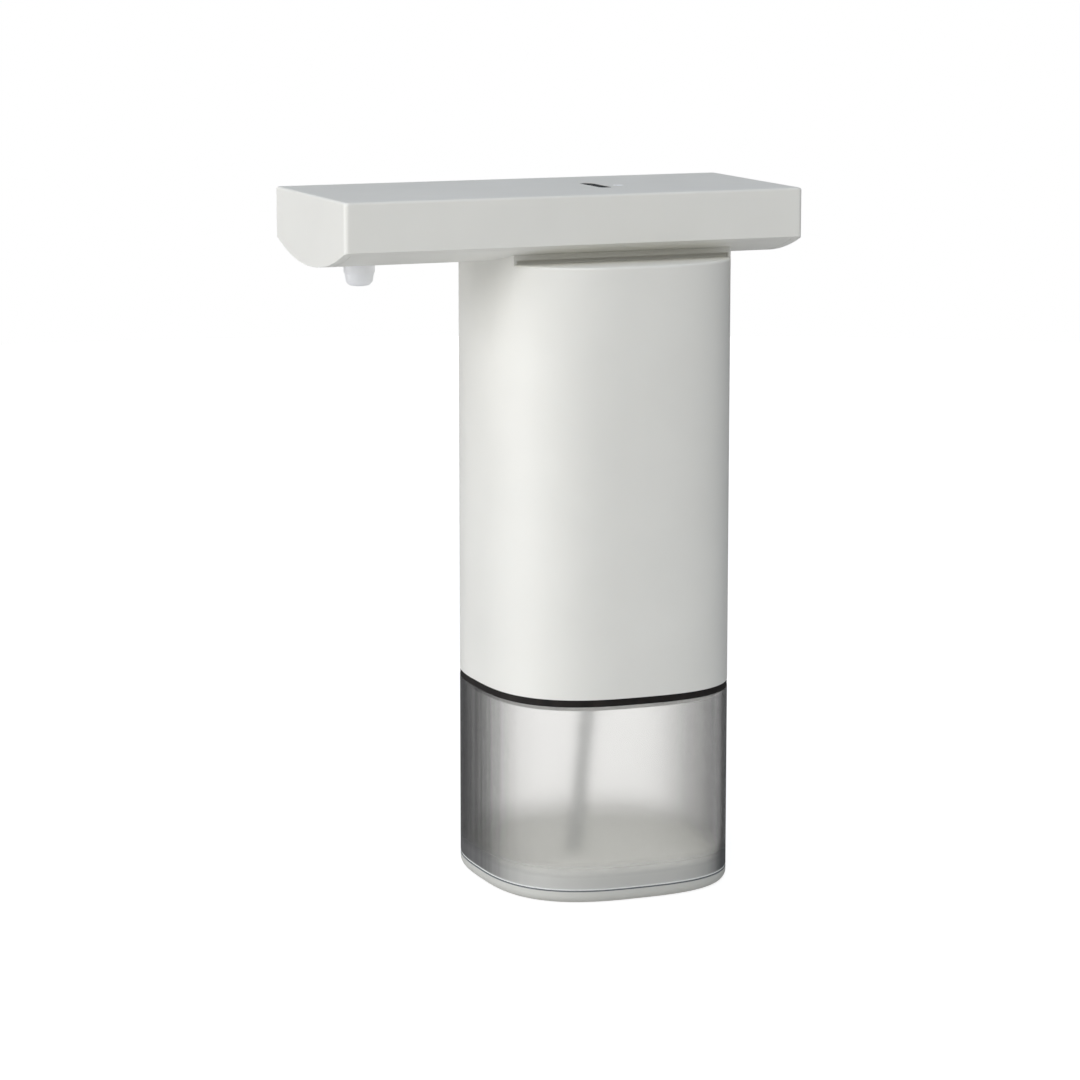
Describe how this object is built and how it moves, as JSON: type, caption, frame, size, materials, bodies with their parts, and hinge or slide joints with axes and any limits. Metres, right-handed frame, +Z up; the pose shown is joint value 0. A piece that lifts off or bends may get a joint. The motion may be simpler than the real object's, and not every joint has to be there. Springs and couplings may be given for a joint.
{
  "type": "touchless foaming soap dispenser",
  "caption": "Free-standing touchless foaming soap dispenser: a long flat head with a nozzle over a rounded column body on a frosted push-fit bottle.",
  "frame": {"origin": "centre of the foot pad's underside, on the column's axis, at table height", "axes": "+Z up along the column; the spout points to -Y; +X is across the head's width"},
  "size_m": [0.0754, 0.1362, 0.2],
  "materials": {
    "body_plastic": "fine matt moulding, warm light grey white",
    "white_plastic": "matt white moulding",
    "black_plastic": "satin black moulding",
    "black_rubber": "matt black rubber",
    "frosted_bottle": "frosted translucent smoky plastic",
    "tube_plastic": "translucent extruded tube",
    "nozzle_plastic": "translucent white, satin",
    "lens_plastic": "clear milky light guide",
    "dark_window": "dark infrared-passing plastic",
    "circuit_board": "green solder mask",
    "silicone": "soft milky silicone",
    "steel": "zinc-plated",
    "brass": "plain brass",
    "magnet": "dark ferrite",
    "copper_winding": "enamelled copper on a steel core",
    "spring_plate": "nickel-plated spring sheet",
    "lead_insulation": "thin coloured insulation",
    "cell_wrap": "plain printed sleeve, no marks"
  },
  "bodies": {
    "bottle_base": {"bottle": "frosted_bottle", "base_plate": "body_plastic", "foot_pad": "black_rubber"},
    "pump_unit": {"seal_ring": "black_rubber", "body_floor": "white_plastic", "body_shell": "body_plastic", "head_shell": "body_plastic", "head_underside": "body_plastic", "sensor_window": "dark_window", "indicator_lens": "lens_plastic", "tact_switch": "black_plastic", "main_board": "circuit_board", "status_led": "lens_plastic", "sensor_board": "circuit_board", "ir_emitter": "lens_plastic", "ir_receiver": "dark_window", "nozzle_tip": "nozzle_plastic", "nozzle_holder": "white_plastic", "foam_screens": "steel", "foam_tube": "silicone", "outlet_elbow": "white_plastic", "dip_tube": "tube_plastic", "inlet_fitting": "white_plastic", "suction_tube": "silicone", "pump_head": "black_plastic", "valve_plate": "white_plastic", "umbrella_valves": "silicone", "diaphragm": "black_rubber", "pump_housing": "black_plastic", "wobble_plate": "white_plastic", "motor_can": "steel", "motor_endbell": "black_plastic", "motor_terminals": "brass", "motor_magnets": "magnet", "pump_cradle": "white_plastic", "battery_tray": "black_plastic", "contact_plates": "spring_plate", "battery_leads": "lead_insulation", "motor_leads": "lead_insulation", "sensor_leads": "lead_insulation", "floor_screws": "steel", "head_screws": "steel", "pump_screws": "steel", "board_screws": "steel", "cradle_screws": "steel", "holder_screws": "steel", "battery_1": "cell_wrap", "battery_2": "cell_wrap", "battery_3": "cell_wrap", "battery_4": "cell_wrap"},
    "button": {"power_button": "black_plastic", "switch_plunger": "black_plastic"},
    "rotor": {"motor_shaft": "steel", "motor_armature": "copper_winding", "eccentric_cam": "white_plastic", "drive_pin": "steel"},
    "battery_door": {"battery_cover": "white_plastic", "cover_seal": "black_rubber", "cover_contacts": "spring_plate"}
  },
  "joints": [
    {"name": "unit_lift", "type": "slide", "parent": "bottle_base", "child": "pump_unit", "axis": [0, 0, 1], "range_m": [0, 0.07]},
    {"name": "button_press", "type": "slide", "parent": "pump_unit", "child": "button", "axis": [0, 0, -1], "range_m": [0, 0.0005], "stiffness_N_per_m": 900, "springref_m": -0.001},
    {"name": "motor_spin", "type": "hinge", "parent": "pump_unit", "child": "rotor", "pos_m": [0, -0.011, 0.1], "axis": [0, 0, 1], "continuous": true},
    {"name": "battery_cover_pull", "type": "slide", "parent": "pump_unit", "child": "battery_door", "axis": [0, 0, -1], "range_m": [0, 0.012]}
  ]
}
